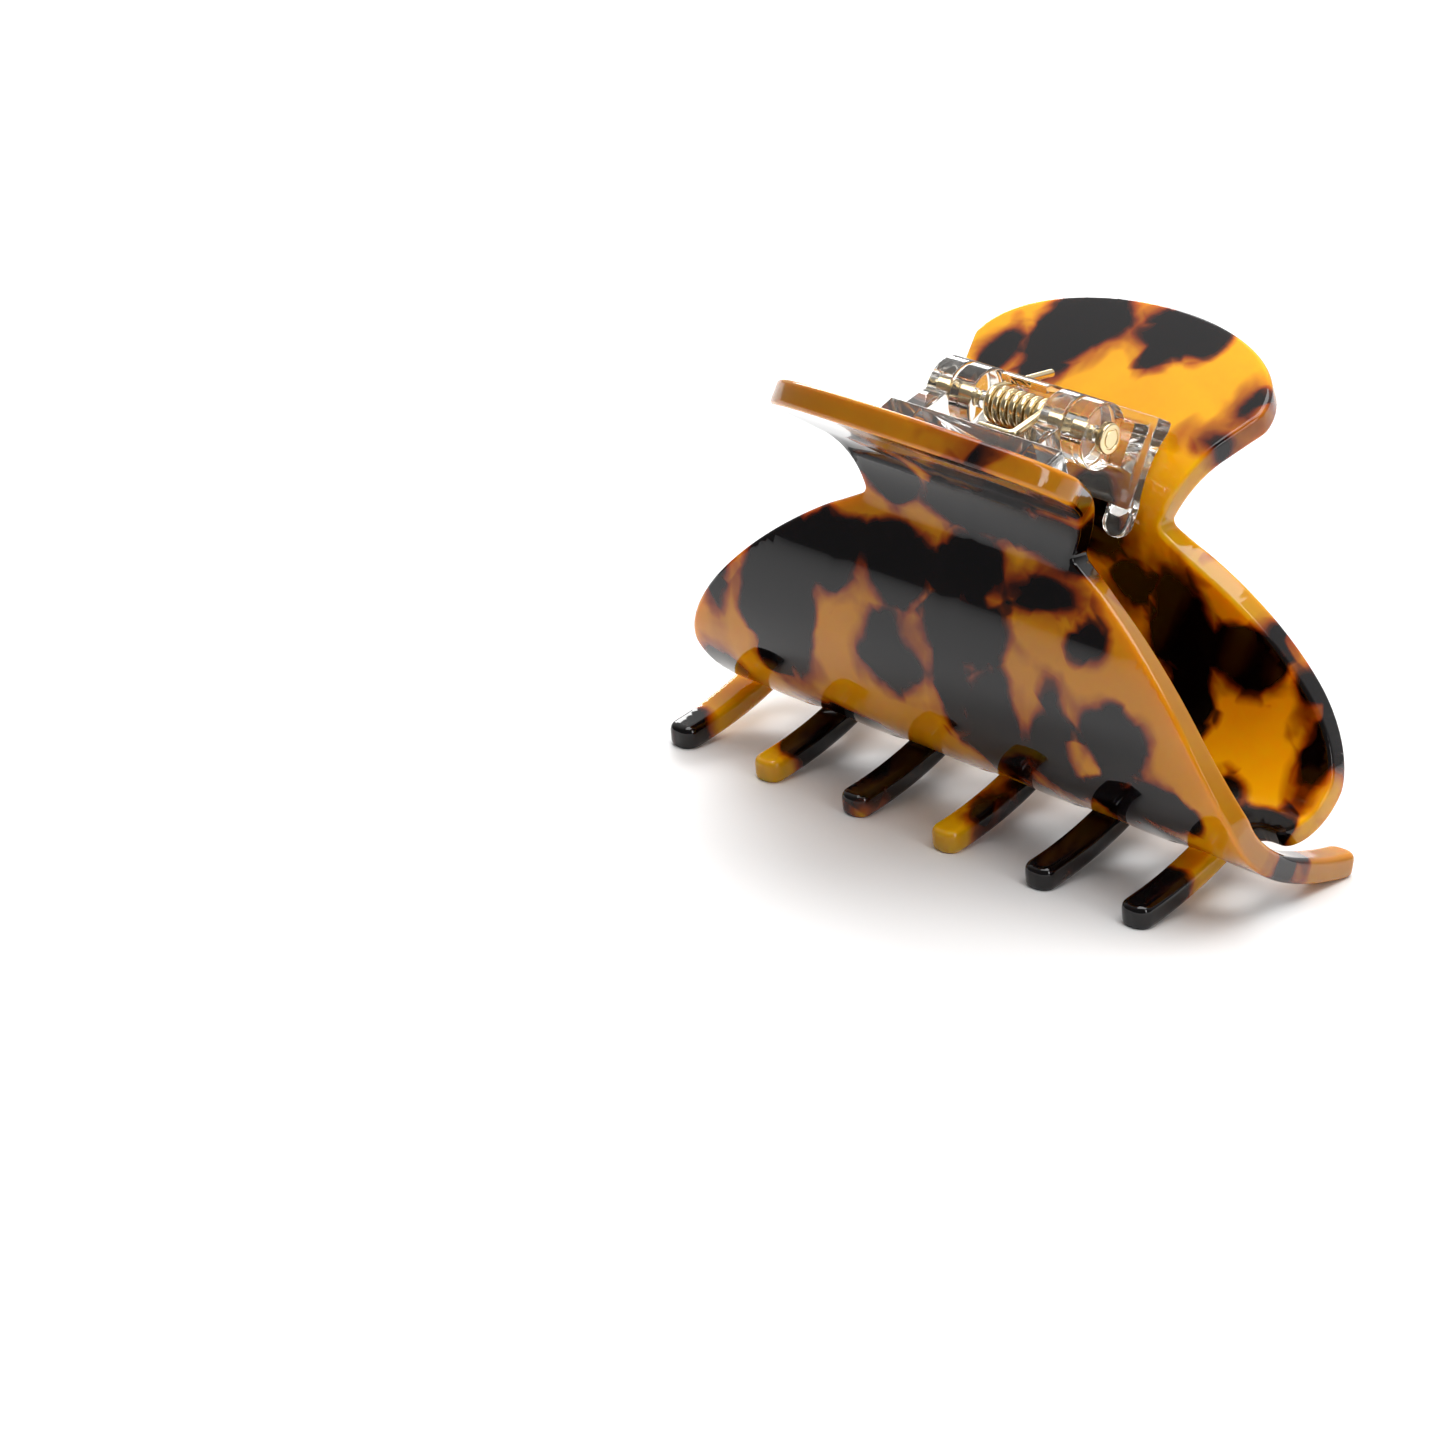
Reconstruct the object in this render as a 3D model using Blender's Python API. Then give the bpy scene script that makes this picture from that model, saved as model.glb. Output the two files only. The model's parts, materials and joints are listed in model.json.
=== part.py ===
# Claw hair clip: two bent sheet jaws on a sprung pin hinge.
# World frame: metres, +Z up, X along the hinge pin, the floor under the tooth tips at Z = 0.
# The front jaw is on the -Y side. The rear jaw is the same jaw turned half a turn about Z.
import math

import bmesh
import bpy
from mathutils import Matrix, Vector

MM = 0.001

# Sheet: a flat blank, then bent along its length. s runs down the blank from the tab's top edge.
SHEET = 3.3 * MM
EDGE_CHAMFER = 0.45 * MM
TAB_TOP = (-29.4 * MM, 6.0 * MM)        # middle of the sheet there, (y, z) from the hinge axis
TAB_LEAN = 25.4                         # degrees below level at which the sheet leaves the tab's top
BENDS = (                               # length of each stretch, and its turn in degrees
    (18.3 * MM, -6.9),                  # thumb tab, nearly flat
    (14.5 * MM, -77.7),                 # neck
    (13.3 * MM, 16.6),                  # upper body
    (16.7 * MM, 55.0),                  # lower body, curling under
    (10.0 * MM, 18.4),                  # roots of the teeth
    (13.3 * MM, 13.0),                  # teeth, nearly straight
)
BEND_STEP = 7.0                         # degrees between two bend lines

# Blank outline, in half widths (x) and distances down the sheet (s)
HALF_WIDTH = 44.0 * MM
TAB_HALF = 22.7 * MM
TAB_CROWN = 12.9 * MM                   # s of the tab's widest line, below an elliptical top
TAB_CORNER = 3.0 * MM
NECK_HALF = 16.3 * MM
NECK_S = 29.4 * MM
NECK_CORNER = 1.2 * MM
MOON_S = 56.9 * MM                      # s of the widest line of the half-moon body
MOON_RISE = 32.3 * MM
MOON_POWER = 1.5
ROOT_S = 65.3 * MM                      # bottom edge between the teeth
END_ROUND = 3.7 * MM
TOOTH_PITCH = 14.95 * MM
TOOTH_WIDTH = 4.2 * MM
TEETH = 6
FIRST_TOOTH = 2.75                      # end tooth's place, in pitches from the middle
TIP_ROUND = 1.7 * MM
REST_LENGTH = 2.4 * MM                  # tips are faced level over this length, to stand on
ROOT_ROUND = 3.5 * MM

# Hinge brackets: a plate cemented inside each jaw, carrying two knuckles
GAP = 0.3 * MM                          # cement line, and side play between the knuckles
PLATE_TILT = math.radians(24.4)         # the plate leans out by this from upright
PLATE_INSIDE = 7.9 * MM                 # hinge axis to the plate's inner face
PLATE_THICK = 3.2 * MM
PLATE_UP = 4.4 * MM
PLATE_DOWN = 7.2 * MM
PLATE_HALF = 13.6 * MM
KNUCKLE_RADIUS = 4.25 * MM
KNUCKLE_OUTER = (9.0 * MM, 12.4 * MM)   # x span of the outer knuckle, and of the inner one
KNUCKLE_INNER = (5.3 * MM, 8.7 * MM)
WEB_HALF = 2.7 * MM
WEB_FLARE = 0.8 * MM
BORE_RADIUS = 1.25 * MM
ROOF_HALF = 3.6 * MM
ROOF_THICK = 1.0 * MM
ROOF_WRAP = math.radians(32)
LUG_X = 12.0 * MM
LUG_WIDTH = 3.8 * MM
LUG_DROP = 3.8 * MM
LUG_ROOT = 1.2 * MM                     # how far a lug runs up inside the plate
LUG_SET_BACK = 0.3 * MM
LUG_THICK = 1.6 * MM

# Pin and torsion spring
PIN_RADIUS = 1.0 * MM
PIN_HEAD = (2.0 * MM, 0.9 * MM)         # radius and thickness of the made head
PIN_RIVET = (1.5 * MM, 0.5 * MM)        # radius and thickness of the formed end
WIRE_RADIUS = 0.5 * MM
COIL_RADIUS = 2.0 * MM
COIL_TURNS = 8
COIL_HALF = 4.55 * MM
COIL_STEPS = 10
FOOT_LENGTH = 5.0 * MM
REAR_LEG_END = (10.6 * MM, 1.6 * MM)    # (y, z), just past the top edge of the rear plate


def bend_line(s, offset):
    """Point (y, z) of the front jaw at distance s down the sheet and offset out of its middle."""
    y, z = TAB_TOP
    heading = -math.radians(TAB_LEAN)
    for length, degrees in BENDS:
        run = max(0.0, min(s, length))
        turn = math.radians(degrees) * run / length
        chord = run if abs(turn) < 1e-6 else 2 * run / turn * math.sin(turn / 2)
        y += chord * math.cos(heading + turn / 2)
        z += chord * math.sin(heading + turn / 2)
        heading += turn
        s -= length
        if s <= 0:
            break
    return y + offset * math.sin(heading), z - offset * math.cos(heading)


SHEET_LENGTH = sum(length for length, _ in BENDS)
HINGE_HEIGHT = -bend_line(SHEET_LENGTH - REST_LENGTH, SHEET / 2)[1]


def bend_stations():
    """Distances down the sheet at which it is creased to follow its bends."""
    stations = []
    start = 0.0
    for length, degrees in BENDS:
        steps = max(1, math.ceil(abs(degrees) / BEND_STEP))
        stations += [start + length * i / steps for i in range(1, steps + 1)]
        start += length
    return stations[:-1] + [SHEET_LENGTH - REST_LENGTH]


def rounded(corners, step=math.radians(22)):
    """Closed outline from corners (x, y, radius), each turned into an arc."""
    points = []
    for i, (x, y, radius) in enumerate(corners):
        here = Vector((x, y))
        if radius <= 0:
            points.append(tuple(here))
            continue
        before = (Vector(corners[i - 1][:2]) - here).normalized()
        after = (Vector(corners[(i + 1) % len(corners)][:2]) - here).normalized()
        half = before.angle(after) / 2
        centre = here + (before + after).normalized() * radius / math.sin(half)
        first = here + before * radius / math.tan(half) - centre
        sweep = first.angle_signed(here + after * radius / math.tan(half) - centre)
        count = max(2, math.ceil(abs(sweep) / step))
        for k in range(count + 1):
            turned = Matrix.Rotation(-sweep * k / count, 2) @ first
            points.append(tuple(centre + turned))
    return points


def blank_outline():
    """Outline (x, s) of the jaw's flat blank, from the tab's top round by the tooth end."""
    right = []
    for i in range(0, 11):                      # elliptical crown of the thumb tab
        angle = math.radians(9 * i)
        right.append((TAB_HALF * math.sin(angle), TAB_CROWN * (1 - math.cos(angle)), 0.0))
    right[-1] = (TAB_HALF, TAB_CROWN, TAB_CORNER)
    right.append((NECK_HALF, NECK_S, NECK_CORNER))
    for i in range(2, 17):                      # half-moon body
        x = NECK_HALF + (HALF_WIDTH - NECK_HALF) * math.sin(math.radians(90) * i / 16)
        rise = MOON_RISE * (1 - (x / HALF_WIDTH) ** MOON_POWER) ** (1 / MOON_POWER)
        right.append((x, MOON_S - rise, 0.0))
    left = [(-x, s, r) for x, s, r in reversed(right[1:])]

    teeth = []
    for i in range(TEETH):
        middle = (FIRST_TOOTH - i) * TOOTH_PITCH
        for side in (1, -1):
            edge = middle + side * TOOTH_WIDTH / 2
            root = (edge, ROOT_S, ROOT_ROUND)
            tip = (edge, SHEET_LENGTH, TIP_ROUND)
            teeth += [tip] if i == 0 and side == 1 else ([root, tip] if side == 1 else [tip, root])
    plain_end = []
    for i in range(0, 6):                       # rounded bottom corner of the end with no tooth
        angle = math.radians(15 * i)
        plain_end.append((END_ROUND - HALF_WIDTH - END_ROUND * math.sin(angle),
                          MOON_S + (ROOT_S - MOON_S) * math.cos(angle), 0.0))
    return rounded(right + teeth + plain_end + left)


def mesh_object(name, bm, material):
    """Object on the hinge axis from a bmesh in hinge coordinates."""
    bmesh.ops.recalc_face_normals(bm, faces=bm.faces)
    mesh = bpy.data.meshes.new(name)
    bm.to_mesh(mesh)
    bm.free()
    mesh.materials.append(material)
    mesh.shade_smooth()
    mesh.set_sharp_from_angle(angle=math.radians(35))
    item = bpy.data.objects.new(name, mesh)
    item.location.z = HINGE_HEIGHT
    bpy.context.collection.objects.link(item)
    return item


def extrude_outline(bm, outline, start, end):
    """Prism on a closed outline of points, from start to end along the third axis."""
    face = bm.faces.new([bm.verts.new((x, y, start)) for x, y in outline])
    grown = bmesh.ops.extrude_face_region(bm, geom=[face])["geom"]
    top = [v for v in grown if isinstance(v, bmesh.types.BMVert)]
    bmesh.ops.translate(bm, verts=top, vec=(0, 0, end - start))


def jaw(name, material, half_turn):
    """Bent sheet jaw: blank outline, chamfered rim, bend lines, the bend, and level tips."""
    bm = bmesh.new()
    extrude_outline(bm, blank_outline(), -SHEET / 2, SHEET / 2)
    rim = [e for e in bm.edges if abs(e.verts[0].co.z - e.verts[1].co.z) < SHEET / 2]
    bmesh.ops.bevel(bm, geom=rim, offset=EDGE_CHAMFER, segments=1, affect="EDGES")
    for s in bend_stations():
        everything = bm.verts[:] + bm.edges[:] + bm.faces[:]
        bmesh.ops.bisect_plane(bm, geom=everything, dist=1e-6, plane_co=(0, s, 0), plane_no=(0, 1, 0))
    bmesh.ops.triangulate(bm, faces=bm.faces)
    for vert in bm.verts:
        y, z = bend_line(vert.co.y, vert.co.z)
        vert.co = (vert.co.x, y, max(z, -HINGE_HEIGHT))
    item = mesh_object(name, bm, material)
    item.rotation_euler.z = math.pi if half_turn else 0.0
    return item


def section_solid(name, section, x_from, x_to, material):
    """Prism along X on a section of points (v, u): v out to the plate, u up along it."""
    bm = bmesh.new()
    extrude_outline(bm, section, x_from, x_to)
    lean = Matrix.Rotation(-PLATE_TILT, 4, "X")
    for vert in bm.verts:
        v, u, x = vert.co
        vert.co = lean @ Vector((x, v, u))
    return mesh_object(name, bm, material)


def polar(radius, angle):
    return radius * math.cos(angle), radius * math.sin(angle)


def plate_section():
    """Plate with a flat inner face. Its back is hollowed to sit on the bend of the neck."""
    neck_length, neck_turn = BENDS[1]
    radius = neck_length / math.radians(abs(neck_turn))
    start = bend_line(BENDS[0][0] + neck_length / 2, radius)
    upright = Matrix.Rotation(PLATE_TILT, 2)
    centre = upright @ Vector((-start[0], start[1]))
    reach = radius + SHEET / 2 + GAP
    back = PLATE_INSIDE + PLATE_THICK
    points = [(PLATE_INSIDE, -PLATE_DOWN)]
    for i in range(13):
        u = -PLATE_DOWN + (PLATE_UP + PLATE_DOWN) * i / 12
        points.append((min(back, centre.x - math.sqrt(reach ** 2 - (u - centre.y) ** 2)), u))
    points.append((PLATE_INSIDE, PLATE_UP))
    return points


def knuckle_section():
    """Round knuckle with the web that ties it to the plate."""
    meet = math.asin(WEB_HALF / KNUCKLE_RADIUS)
    steps = 20
    points = [polar(KNUCKLE_RADIUS, meet + (2 * math.pi - 2 * meet) * i / steps)
              for i in range(steps + 1)]
    foot = PLATE_INSIDE + PLATE_THICK / 4
    return points + [(foot, -WEB_HALF - WEB_FLARE), (foot, WEB_HALF + WEB_FLARE)]


def roof_section():
    """Cover over the back of the coil: a sloping wall from the plate that wraps over the top."""
    def edge(radius, height):
        foot = Vector((PLATE_INSIDE + PLATE_THICK / 4, height))
        touch = math.atan2(foot.y, foot.x) + math.acos(radius / foot.length)
        wrap = [polar(radius, touch + ROOF_WRAP * i / 4) for i in range(5)]
        return [tuple(foot)] + wrap
    outer = edge(KNUCKLE_RADIUS, PLATE_UP - GAP)
    inner = edge(KNUCKLE_RADIUS - ROOF_THICK, PLATE_UP - GAP - ROOF_THICK)
    return outer + inner[::-1]


def lug_section():
    """Thickness of the lugs, as a section that runs from inside the plate down past its edge."""
    inside = PLATE_INSIDE + LUG_SET_BACK
    outside = inside + LUG_THICK
    low = -PLATE_DOWN - LUG_DROP
    high = -PLATE_DOWN + LUG_ROOT
    return [(inside, low), (outside, low), (outside, high), (inside, high)]


def combine(base, other, operation):
    """Boolean of a hidden helper into the base."""
    other.hide_render = True
    other.display_type = "WIRE"
    cut = base.modifiers.new(other.name, "BOOLEAN")
    cut.operation = operation
    cut.solver = "EXACT"
    cut.object = other


def bracket(name, material, front, roof):
    """Moulded hinge bracket: plate, an outer and an inner knuckle, two lugs, maybe the roof."""
    side = -1 if front else 1
    plate = section_solid(name, plate_section(), -PLATE_HALF, PLATE_HALF, material)
    helpers = []
    for label, (near, far), way in (("outer", KNUCKLE_OUTER, 1), ("inner", KNUCKLE_INNER, -1)):
        low, high = sorted((near * way, far * way))
        helpers.append((section_solid(f"{name}_{label}", knuckle_section(), low, high, material), "UNION"))
    for label, x in (("lug_a", LUG_X), ("lug_b", -LUG_X)):
        lug = section_solid(f"{name}_{label}", lug_section(), x - LUG_WIDTH / 2, x + LUG_WIDTH / 2, material)
        bevel = lug.modifiers.new("round end", "BEVEL")
        bevel.width = LUG_WIDTH * 0.45
        bevel.segments = 3
        bevel.limit_method = "WEIGHT"
        weights = lug.data.attributes.new("bevel_weight_edge", "FLOAT", "EDGE")
        lean = Matrix.Rotation(PLATE_TILT, 3, "X")
        for edge in lug.data.edges:
            ends = [lean @ lug.data.vertices[i].co for i in edge.vertices]
            is_tip = max(ends[0].z, ends[1].z) < -PLATE_DOWN - LUG_DROP / 2
            across = abs(ends[0].y - ends[1].y) > LUG_DROP / 4
            weights.data[edge.index].value = 1.0 if is_tip and across else 0.0
        helpers.append((lug, "UNION"))
    if roof:
        helpers.append((section_solid(f"{name}_roof", roof_section(), -ROOF_HALF, ROOF_HALF, material),
                        "UNION"))
    drill = turned(f"{name}_bore", [(-PLATE_HALF, BORE_RADIUS), (PLATE_HALF, BORE_RADIUS)], material)
    helpers.append((drill, "DIFFERENCE"))
    for helper, operation in helpers:
        combine(plate, helper, operation)
    if front:
        for item in [plate] + [helper for helper, _ in helpers]:
            item.rotation_euler.z = math.pi
    return plate


def turned(name, profile, material, steps=24):
    """Solid of revolution about X from a profile of points (x, radius)."""
    bm = bmesh.new()
    rings = [[bm.verts.new((x, *polar(radius, 2 * math.pi * k / steps))) for k in range(steps)]
             for x, radius in profile]
    for a, b in zip(rings, rings[1:]):
        for k in range(steps):
            bm.faces.new((a[k], a[(k + 1) % steps], b[(k + 1) % steps], b[k]))
    bm.faces.new(rings[0])
    bm.faces.new(rings[-1])
    return mesh_object(name, bm, material)


def pin(material):
    """Hinge pin: shaft, made head at +X, and the end formed over at -X."""
    reach = KNUCKLE_OUTER[1] + GAP
    head_radius, head_length = PIN_HEAD
    rivet_radius, rivet_length = PIN_RIVET
    round_off = 0.2 * MM
    profile = [
        (-reach - rivet_length, rivet_radius - round_off),
        (-reach - rivet_length + round_off, rivet_radius),
        (-reach, rivet_radius),
        (-reach, PIN_RADIUS),
        (reach, PIN_RADIUS),
        (reach, head_radius),
        (reach + head_length - round_off, head_radius),
        (reach + head_length, head_radius - round_off),
    ]
    return turned("hinge_pin", profile, material)


def tangent_turn(y, z):
    """Turn angle, from the top of the coil towards +Y, at which a leg to (y, z) leaves the coil."""
    distance = math.hypot(y, z)
    opening = math.acos(COIL_RADIUS / distance)
    side = 1 if y > 0 else -1
    return math.pi / 2 - (math.atan2(z, y) + side * opening)


def spring_path():
    """Front foot, front leg, coil from +X to -X, then the rear leg. Points are (x, y, z)."""
    out = PLATE_INSIDE - GAP - WIRE_RADIUS
    up = PLATE_UP - 1.2 * MM
    lean = Matrix.Rotation(PLATE_TILT, 2)
    foot = lean.inverted() @ Vector((out, up))
    foot_y, foot_z = -foot.x, foot.y
    start = tangent_turn(foot_y, foot_z)
    end = tangent_turn(*REAR_LEG_END) + 2 * math.pi * COIL_TURNS
    points = [(COIL_HALF - FOOT_LENGTH, foot_y, foot_z), (COIL_HALF - 2 * WIRE_RADIUS, foot_y, foot_z),
              (COIL_HALF, foot_y + WIRE_RADIUS * 1.5, foot_z + WIRE_RADIUS / 2)]
    steps = COIL_TURNS * COIL_STEPS
    for k in range(steps + 1):
        angle = start + (end - start) * k / steps
        points.append((COIL_HALF - 2 * COIL_HALF * k / steps,
                       COIL_RADIUS * math.sin(angle), COIL_RADIUS * math.cos(angle)))
    points.append((-COIL_HALF, *REAR_LEG_END))
    return points


def spring(material):
    """Torsion spring as a round wire along its path."""
    curve = bpy.data.curves.new("torsion_spring", "CURVE")
    curve.dimensions = "3D"
    curve.bevel_depth = WIRE_RADIUS
    curve.bevel_resolution = 2
    curve.use_fill_caps = True
    points = spring_path()
    line = curve.splines.new("POLY")
    line.points.add(len(points) - 1)
    for spot, place in zip(line.points, points):
        spot.co = (*place, 1.0)
    curve.materials.append(material)
    item = bpy.data.objects.new("torsion_spring", curve)
    item.location.z = HINGE_HEIGHT
    bpy.context.collection.objects.link(item)
    return item


def finish(name, colour, roughness, metallic=0.0, alpha=1.0):
    """Principled material of one plain finish."""
    material = bpy.data.materials.new(name)
    material.use_nodes = True
    shader = material.node_tree.nodes["Principled BSDF"]
    shader.inputs["Base Color"].default_value = (*colour, 1.0)
    shader.inputs["Roughness"].default_value = roughness
    shader.inputs["Metallic"].default_value = metallic
    shader.inputs["Alpha"].default_value = alpha
    return material


def build():
    for item in list(bpy.data.objects):
        bpy.data.objects.remove(item, do_unlink=True)
    acetate = finish("amber_acetate", (0.45, 0.17, 0.02), 0.12)
    clear = finish("clear_plastic", (0.86, 0.82, 0.76), 0.08, alpha=0.4)
    brass = finish("pale_brass", (0.78, 0.64, 0.36), 0.25, metallic=1.0)
    jaw("front_jaw", acetate, half_turn=False)
    jaw("rear_jaw", acetate, half_turn=True)
    bracket("front_hinge_bracket", clear, front=True, roof=False)
    bracket("rear_hinge_bracket", clear, front=False, roof=True)
    pin(brass)
    spring(brass)


build()
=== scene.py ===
# Claw hair clip in tortoiseshell acetate, with clear hinge brackets and brass wire parts.
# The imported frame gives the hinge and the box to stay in. Metres, +Z up, X along the hinge pin.
import json
import math

import bmesh
import bpy
from mathutils import Matrix, Vector


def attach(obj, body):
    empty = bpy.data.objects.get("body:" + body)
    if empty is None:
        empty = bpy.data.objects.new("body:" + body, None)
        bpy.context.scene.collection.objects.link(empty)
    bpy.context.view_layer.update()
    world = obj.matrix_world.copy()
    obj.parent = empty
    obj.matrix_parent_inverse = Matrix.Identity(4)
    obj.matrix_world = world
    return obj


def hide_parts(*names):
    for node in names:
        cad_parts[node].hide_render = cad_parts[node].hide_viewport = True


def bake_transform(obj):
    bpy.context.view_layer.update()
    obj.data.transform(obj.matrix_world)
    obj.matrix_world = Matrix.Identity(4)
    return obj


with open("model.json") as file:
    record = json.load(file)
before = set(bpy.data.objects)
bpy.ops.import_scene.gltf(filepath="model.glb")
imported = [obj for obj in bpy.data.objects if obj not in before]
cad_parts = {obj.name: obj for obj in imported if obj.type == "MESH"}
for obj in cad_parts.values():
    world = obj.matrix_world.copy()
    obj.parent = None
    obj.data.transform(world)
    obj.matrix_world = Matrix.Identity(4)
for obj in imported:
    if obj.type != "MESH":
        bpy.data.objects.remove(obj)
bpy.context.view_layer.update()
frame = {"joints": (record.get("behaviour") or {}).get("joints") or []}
hinge = Vector(frame["joints"][0]["pos_m"])
mm = 0.001
print("frame loaded, hinge at", tuple(round(v, 4) for v in hinge))


def linkObject(name, data):
    item = bpy.data.objects.new(name, data)
    bpy.context.scene.collection.objects.link(item)
    return item


def bakeModifiers(item, name):
    # Turns an object with live modifiers into a plain mesh object of that name.
    graph = bpy.context.evaluated_depsgraph_get()
    mesh = bpy.data.meshes.new_from_object(item.evaluated_get(graph), depsgraph=graph)
    mesh.name = name
    bpy.data.objects.remove(item, do_unlink=True)
    return linkObject(name, mesh)


def meshFrom(bm, name):
    bmesh.ops.recalc_face_normals(bm, faces=bm.faces)
    mesh = bpy.data.meshes.new(name)
    bm.to_mesh(mesh)
    bm.free()
    mesh.shade_smooth()
    return mesh


def addPrism(bm, outline, low, high):
    face = bm.faces.new([bm.verts.new((x, y, low)) for x, y in outline])
    grown = bmesh.ops.extrude_face_region(bm, geom=[face])["geom"]
    top = [v for v in grown if isinstance(v, bmesh.types.BMVert)]
    bmesh.ops.translate(bm, verts=top, vec=(0, 0, high - low))


def roundCorners(corners, step=math.radians(7)):
    # Corners are (x, y, radius). Each turns into an arc.
    points = []
    for i, (x, y, radius) in enumerate(corners):
        here = Vector((x, y))
        if radius <= 0:
            points.append(tuple(here))
            continue
        before = (Vector(corners[i - 1][:2]) - here).normalized()
        after = (Vector(corners[(i + 1) % len(corners)][:2]) - here).normalized()
        half = before.angle(after) / 2
        centre = here + (before + after).normalized() * radius / math.sin(half)
        first = here + before * radius / math.tan(half) - centre
        sweep = first.angle_signed(here + after * radius / math.tan(half) - centre)
        count = max(2, math.ceil(abs(sweep) / step))
        for k in range(count + 1):
            turned = Matrix.Rotation(-sweep * k / count, 2) @ first
            points.append(tuple(centre + turned))
    return points


def newInputs(tree, sockets):
    for name, kind, default in sockets:
        socket = tree.interface.new_socket(name, in_out="INPUT", socket_type=kind)
        if default is not None:
            socket.default_value = default


def addNode(tree, kind, place, **settings):
    node = tree.nodes.new(kind)
    node.location = place
    for key, value in settings.items():
        setattr(node, key, value)
    return node


def setInput(modifier, name, value):
    for item in modifier.node_group.interface.items_tree:
        if item.item_type == "SOCKET" and item.in_out == "INPUT" and item.name == name:
            modifier[item.identifier] = value
            return
    raise KeyError(name)


# Each jaw is a flat blank with rounded edges, bent along a profile.
jaw = {
    "sheet": 3.3 * mm,
    "bodyEdge": 0.61 * mm,          # rounding of the body's rim
    "toothEdge": 0.95 * mm,         # rounding along the teeth
    "edgeBlend": (2.0 * mm, 7.0 * mm),      # starts this far above the tooth roots, and its length
    "edgeSteps": 4,
    "grid": 1.25 * mm,              # spacing of the mesh lines laid over the flat blank
    "weld": 0.02 * mm,              # mesh lines this near to a corner go through it
    "tabTop": (-29.4 * mm, 6.0 * mm),       # y and z from the hinge
    "tabLean": 25.4,                # degrees below level that the sheet starts at
    "bends": (                      # length of each stretch of the sheet, and its turn in degrees
        (18.3 * mm, -6.9),
        (14.5 * mm, -77.7),
        (13.3 * mm, 16.6),
        (16.7 * mm, 55.0),
        (10.0 * mm, 18.4),
        (13.3 * mm, 13.0),
    ),
    "bendStep": 0.8,                # degrees between two points of the profile curve
    "arcStep": 3,                   # degrees between two points of the tab's crown
    "moonSteps": (4, 48),           # first and last point of the half-moon, past the neck's corner
    "endSteps": 18,                 # points of the end without a tooth
    "halfWidth": 44.0 * mm,         # below, half is across from the middle, down is along the sheet
    "tabHalf": 22.7 * mm,
    "tabCrown": 12.9 * mm,
    "tabCorner": 3.0 * mm,
    "neckHalf": 16.3 * mm,
    "neckDown": 29.4 * mm,
    "neckCorner": 1.2 * mm,
    "moonDown": 56.9 * mm,
    "moonRise": 32.3 * mm,
    "moonPower": 1.5,               # 2 would make the half-moon elliptical
    "rootDown": 65.3 * mm,
    "endRound": 3.7 * mm,
    "toothPitch": 14.95 * mm,
    "toothWidth": 4.2 * mm,
    "teeth": 6,
    "firstTooth": 2.75,             # in pitches from the middle
    "tipRound": 1.8 * mm,
    "rootRound": 3.5 * mm,
}
sheetLength = sum(length for length, _ in jaw["bends"])

# Dark chips in each sheet: across and down the flat blank, then their half sizes, all in millimetres.
frontChips = (
    (-27, 46, 5.5, 12), (-20, 38, 6, 4.5), (-9, 37, 6, 5), (-12, 24, 5, 5), (3, 26, 9, 4), (15, 27, 7, 3.6),
    (2, 34, 5, 4), (3, 42, 6, 4), (14, 35, 6, 1.8), (-8, 49, 4.5, 3.6), (1.5, 48, 2.2, 7),
    (8, 53, 4.2, 8), (17.5, 54, 3.5, 6.5), (27, 49, 5, 4), (22, 38, 3, 2.2), (33, 56, 4.5, 4),
    (25, 58, 4, 3), (-38, 45, 1.2, 4), (-40, 60, 3, 3),
    (-9, 47, 3, 4.6), (-16, 12, 6, 5), (5, 19, 12, 4), (9, 6, 6, 3), (-18, 22, 4, 5), (19, 17, 2.5, 4),
    (-33.6, 77, 3, 7), (-18.7, 70, 3, 6), (-3.7, 80, 3, 5), (11.2, 76, 3, 12), (26.2, 70, 3, 4),
    (41.1, 70, 2.5, 4), (-20, 63, 5, 2), (30, 63, 4, 1.5),
)
rearChips = (
    (10, 8, 6, 8), (-4.5, 3.5, 5.5, 4.5), (-3.5, 8.5, 1.6, 3), (-20.5, 12, 1.2, 1.8), (-20, 18.5, 2, 1),
    (-7, 31, 4, 5), (-11, 38.5, 2.8, 3.2), (-18.5, 42, 4.5, 7), (-29, 44.5, 5.5, 4.5), (-21, 52, 3, 6),
    (-38, 44, 1.8, 4), (-41, 53, 1.6, 6), (-31, 62, 3, 2.6), (-37, 65, 5.5, 1.6), (-12, 59, 5, 3),
    (17, 14, 2.5, 4), (8, 25, 6, 3), (5, 38, 6, 3.5), (10, 42, 4, 4), (14, 48, 5, 6), (27, 42, 5, 3.5),
    (31, 47, 2.5, 5), (22, 37, 3, 2), (-3, 50, 4, 4), (0, 45, 2, 4), (37, 53, 3, 6), (40, 46, 2, 3),
    (24, 58, 6, 3), (4, 60, 4, 3), (34, 63, 3, 2), (20, 33, 1.8, 1.5), (20, 50, 2, 1.5), (9, 55, 3, 2),
    (32, 37, 2.5, 1.5), (28, 52, 2, 2), (14, 36, 2, 1.5),
    (-33.6, 84, 4, 7), (-18.7, 76, 3, 12), (-5.2, 72, 1.6, 6), (11.2, 76, 3, 9), (26.2, 75, 3, 6),
    (41.1, 84, 3, 3),
)


def profilePoints():
    # The sheet's middle line, (y, z) from the hinge axis, from the tab's top to the tips.
    y, z = jaw["tabTop"]
    heading = -math.radians(jaw["tabLean"])
    points = [(y, z)]
    for length, degrees in jaw["bends"]:
        steps = max(1, math.ceil(abs(degrees) / jaw["bendStep"]))
        turn = math.radians(degrees) / steps
        run = length / steps
        chord = 2 * run / turn * math.sin(turn / 2)
        for _ in range(steps):
            y += chord * math.cos(heading + turn / 2)
            z += chord * math.sin(heading + turn / 2)
            heading += turn
            points.append((y, z))
    return points


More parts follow.
